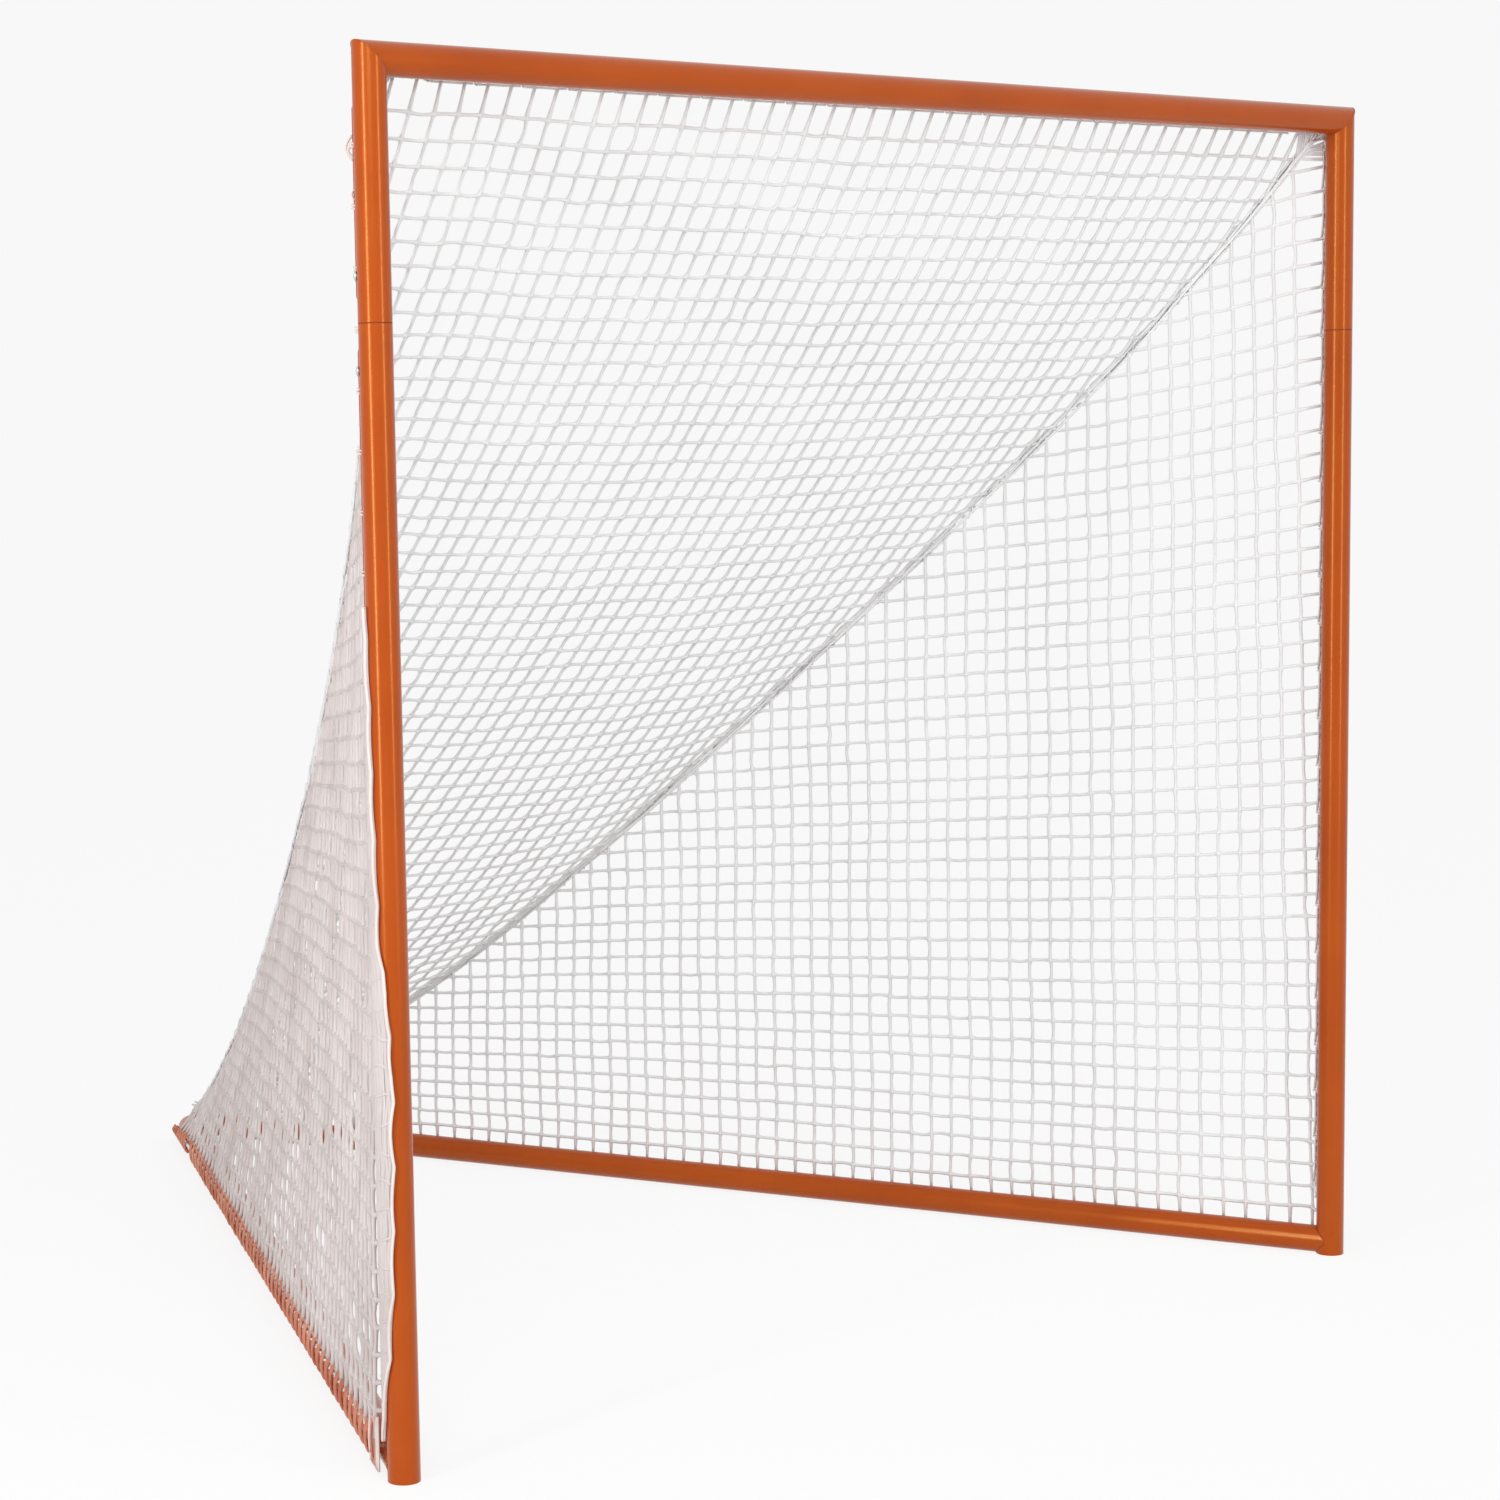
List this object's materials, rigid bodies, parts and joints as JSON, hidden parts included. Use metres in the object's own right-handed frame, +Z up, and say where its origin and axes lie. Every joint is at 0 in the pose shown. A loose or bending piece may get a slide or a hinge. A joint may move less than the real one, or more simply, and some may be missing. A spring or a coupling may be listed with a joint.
{
  "type": "lacrosse goal",
  "caption": "Field lacrosse goal: orange steel tube frame with square mouth, V-shaped base rails, rod lacing bars and a laced white cord net.",
  "frame": {"origin": "middle of the goal line, midway between the two posts' axes, on the ground", "axes": "+Z up; +Y from the mouth towards the rear bend; +X along the goal line, to the right seen from in front of the mouth"},
  "size_m": [1.9178, 2.1335, 1.8732],
  "materials": {
    "frame_paint": "satin",
    "sleeve_steel": "satin",
    "screw_steel": "gloss",
    "net_cord": "matte",
    "lace_cord": "matte"
  },
  "bodies": {
    "root": {"crossbar": "frame_paint", "left_corner_stub": "frame_paint", "right_corner_stub": "frame_paint", "left_post": "frame_paint", "right_post": "frame_paint", "left_post_sleeve": "sleeve_steel", "right_post_sleeve": "sleeve_steel", "post_joint_screws": "screw_steel", "left_base_rail": "frame_paint", "right_base_rail": "frame_paint", "rear_bend": "frame_paint", "left_rear_sleeve": "sleeve_steel", "right_rear_sleeve": "sleeve_steel", "rear_joint_screws": "screw_steel", "crossbar_lacing_bar": "frame_paint", "left_upper_lacing_bar": "frame_paint", "right_upper_lacing_bar": "frame_paint", "left_lower_lacing_bar": "frame_paint", "right_lower_lacing_bar": "frame_paint", "left_rail_lacing_bar": "frame_paint", "right_rail_lacing_bar": "frame_paint", "rear_lacing_bars": "frame_paint", "crossbar_pegs": "frame_paint", "left_post_pegs": "frame_paint", "right_post_pegs": "frame_paint", "left_rail_pegs": "frame_paint", "right_rail_pegs": "frame_paint", "net_back_panel": "net_cord", "net_left_panel": "net_cord", "net_right_panel": "net_cord", "left_ridge_cord": "net_cord", "right_ridge_cord": "net_cord", "top_edge_cord": "net_cord", "left_post_edge_cord": "net_cord", "right_post_edge_cord": "net_cord", "left_base_edge_cord": "net_cord", "right_base_edge_cord": "net_cord", "crossbar_lace": "lace_cord", "left_post_lace": "lace_cord", "right_post_lace": "lace_cord", "left_rail_lace": "lace_cord", "right_rail_lace": "lace_cord"}
  },
  "joints": []
}
